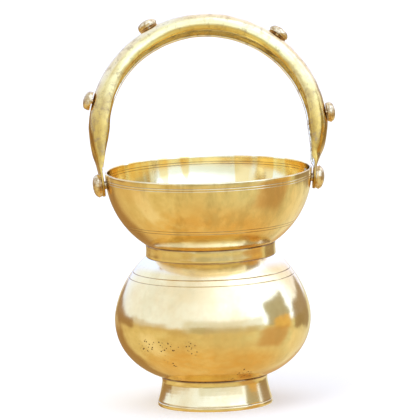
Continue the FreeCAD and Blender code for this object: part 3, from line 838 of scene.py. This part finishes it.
def make_studs():
    stud_material = hammered_brass("stud_brass")
    shaded_burr_material = washer_brass("stud_burr_painted_shade")
    lean = lean_matrix()
    places = (("right", 6.5, 41), ("upper_right", 52.0, 52), ("upper_left", 117.0, 63), ("left", 163.5, 74))
    seat, seat_gap = 4.1, 0.2
    for name, degrees, seed in places:
        angle = math.radians(degrees)
        out = Vector((math.cos(angle), 0, math.sin(angle)))
        base = out * (CREST_RADIUS + seat_gap - seat) + Vector((ARCH_OFFSET, 0, ARCH_HEIGHT))
        place = lean @ axis_matrix(base, out, Vector((0, 1, 0)))
        head = head_profile(*STUD_HEAD)
        tail = [(0, 0), (1.5, 0.05), (2.1, 0.3), (2.3, 0.6), (2.2, 0.8), (1.5, 0.8), (1.5, seat)]
        profile = joined(tail, [(r, z + seat) for r, z in head if r > 1.6 or z > 1.0])
        beaten = hammered(STUD_HEAD[3], STUD_HEAD[1], seed, seat)
        stud = lathe(f"handle_stud_{name}_hammered", profile, 64, beaten, place, 45)
        put(stud, stud_material, "bail", "rivet_brass", f"handle_stud_{name}")
        disc = rounded_washer(1.55, 3.3, 0.8, 1.8)
        burr = lathe(f"stud_burr_{name}_disc", disc, 48, None, place)
        put(burr, shaded_burr_material, "bail", "washer_brass", f"stud_burr_{name}")


# ---------------------------------------------------------------- studio

def make_floor():
    bm = bmesh.new()
    size = 6.0
    for x, y in ((-size, -size), (size, -size), (size, size), (-size, size)):
        bm.verts.new((x, y, 0.0))
    bm.faces.new(bm.verts)
    floor = smooth_object("studio_floor", bm)
    material = bpy.data.materials.new("pale_floor")
    material.use_nodes = True
    shader = material.node_tree.nodes["Principled BSDF"]
    shader.inputs["Base Color"].default_value = colour(0.95, 0.94, 0.92)
    shader.inputs["Roughness"].default_value = 0.9
    shader.inputs["Specular IOR Level"].default_value = 0.0
    shader.inputs["Emission Color"].default_value = colour(1.0, 1.0, 0.98)
    shader.inputs["Emission Strength"].default_value = 0.10
    dress(floor, material)
    floor.visible_glossy = False


# What the metal mirrors: azimuth from behind the camera (+ to the right) and elevation, in degrees,
# as (az low, az high, el low, el high, softness, strength, colour).
SURROUNDINGS = (
    (-40, 60, -9, 15, 4.0, 0.70, (0.74, 0.84, 1.02)),
    (-30, -4, -9, 3, 1.5, 0.75, (0.50, 0.48, 0.34)),
    (-4, 30, -9, 1, 1.5, 0.55, (0.56, 0.54, 0.44)),
    (-78, -58, -17, -8, 1.5, 0.60, (0.86, 0.82, 0.60)),
    (-58, -36, -12, -3, 1.5, 0.50, (0.56, 0.46, 0.26)),
    (36, 52, -12, -2, 1.5, 0.50, (0.60, 0.50, 0.28)),
    (-168, -112, -7, 4, 2.5, 0.95, (0.38, 0.25, 0.13)),
    (-112, -60, -6, 6, 3.0, 0.60, (0.62, 0.52, 0.34)),
    (64, 101, -4, 26, 2.5, 0.95, (0.46, 0.46, 0.38)),
    (74, 101, -12, 7, 2.0, 0.95, (0.85, 0.62, 0.26)),
    (55, 98, -38, -7, 6.0, 0.80, (0.62, 0.40, 0.20)),
    (108, 150, -13, 11, 2.5, 0.92, (0.37, 0.29, 0.19)),
    (108, 166, -34, -15, 5.0, 0.70, (0.98, 0.92, 0.72)),
    (-104, -80, -48, -14, 5.0, 0.65, (1.00, 0.95, 0.80)),
    (-180, -140, -40, -9, 6.0, 0.85, (0.36, 0.20, 0.07)),
    (160, 180, -60, -12, 5.0, 0.75, (0.62, 0.36, 0.12)),
)


def make_world():
    """Bright sky above a warm ground for the metal to mirror, and plain white where the camera looks."""
    world = bpy.data.worlds.new("studio_world")
    world.use_nodes = True
    bpy.context.scene.world = world
    graph = Graph(world.node_tree)
    graph.nodes.clear()
    direction = graph.add("ShaderNodeTexCoord").outputs["Generated"]
    parts = graph.add("ShaderNodeSeparateXYZ")
    graph.feed(parts.inputs[0], direction)
    x, y, z = parts.outputs
    wobble = graph.math("SUBTRACT", graph.noise(direction, 6.0, 4.0, 0.65), 0.5)
    ripple = graph.math("SUBTRACT", graph.noise(direction, 15.0, 3.0, 0.6), 0.5)
    azimuth = graph.math("ARCTAN2", x, graph.math("MULTIPLY", y, -1.0))
    azimuth = graph.math("ADD", azimuth, graph.math("MULTIPLY", ripple, math.radians(14.0)))
    elevation = graph.math("ARCSINE", z)
    elevation = graph.math("ADD", elevation, graph.math("MULTIPLY", wobble, math.radians(12.0)))
    right = graph.steps(azimuth, math.radians(-60), math.radians(60))
    sky = graph.mix(right, colour(0.98, 1.22, 2.05), colour(1.55, 2.15, 4.4))
    far = graph.steps(azimuth, math.radians(95), math.radians(130))
    sky = graph.mix(far, sky, colour(1.1, 1.25, 1.9))
    near_horizon = graph.mix(right, colour(0.74, 0.64, 0.38), colour(0.80, 0.84, 0.70))
    ground = graph.mix(graph.steps(z, -0.95, -0.45), colour(0.82, 0.55, 0.21), near_horizon)
    patches = graph.steps(graph.noise(direction, 9.0, 5.0, 0.62), 0.40, 0.62)
    ground = graph.mix(graph.math("MULTIPLY", patches, 0.55), ground, colour(0.92, 0.84, 0.58))
    stains = graph.steps(graph.noise(direction, 17.0, 5.0, 0.6), 0.52, 0.68)
    ground = graph.mix(graph.math("MULTIPLY", stains, 0.45), ground, colour(0.50, 0.36, 0.16))
    land = graph.mix(graph.steps(elevation, math.radians(-3), math.radians(2)), ground, sky)
    for az_low, az_high, el_low, el_high, soft, strength, tint in SURROUNDINGS:
        mask = graph.window(azimuth, az_low, az_high, soft)
        mask = graph.math("MULTIPLY", mask, graph.window(elevation, el_low, el_high, soft * 0.7))
        land = graph.mix(graph.math("MULTIPLY", mask, strength), land, colour(*tint))
    rays = graph.add("ShaderNodeLightPath")
    shown = graph.mix(rays.outputs["Is Diffuse Ray"], land, colour(1.0, 1.0, 1.0))
    shown = graph.mix(rays.outputs["Is Camera Ray"], shown, colour(1.0, 1.0, 1.0))
    background = graph.add("ShaderNodeBackground")
    graph.feed(background.inputs["Color"], shown)
    output = graph.add("ShaderNodeOutputWorld")
    graph.links.new(background.outputs[0], output.inputs[0])


def make_light(name, place, target, size, power, tint):
    light = bpy.data.lights.new(name, "AREA")
    light.shape = "RECTANGLE"
    light.size, light.size_y = size
    light.energy = power
    light.color = tint
    obj = new_object(name, light)
    obj.location = place
    obj.rotation_euler = (Vector(target) - Vector(place)).to_track_quat("-Z", "Y").to_euler()
    obj.visible_glossy = False


def make_camera():
    """A long lens at the height of a standing table-top photograph, rolled by the photo's two degrees."""
    distance = 4.0
    view_width = 0.2635
    elevation, azimuth, roll = math.radians(8.1), math.radians(3.5), math.radians(1.8)
    target = Vector((0.0003, 0.0, 0.1225))
    level = math.cos(elevation)
    back = Vector((-math.sin(azimuth) * level, -math.cos(azimuth) * level, math.sin(elevation)))
    data = bpy.data.cameras.new("photo_camera")
    data.sensor_width = 36.0
    data.lens = 36.0 * distance / view_width
    data.clip_end = 50.0
    camera = new_object("photo_camera", data)
    turn = (-back).to_track_quat("-Z", "Y").to_matrix().to_4x4()
    camera.matrix_world = Matrix.Translation(target + back * distance) @ turn @ Matrix.Rotation(-roll, 4, "Z")
    bpy.context.scene.camera = camera


make_pot()
make_handle()
make_pivots()
make_studs()
make_floor()
make_world()
make_light("key_panel", (-1.4, -1.8, 1.9), (0, 0, 0.12), (1.6, 1.2), 18.0, (1.0, 0.98, 0.95))
make_camera()
bpy.context.scene.view_settings.view_transform = "Standard"
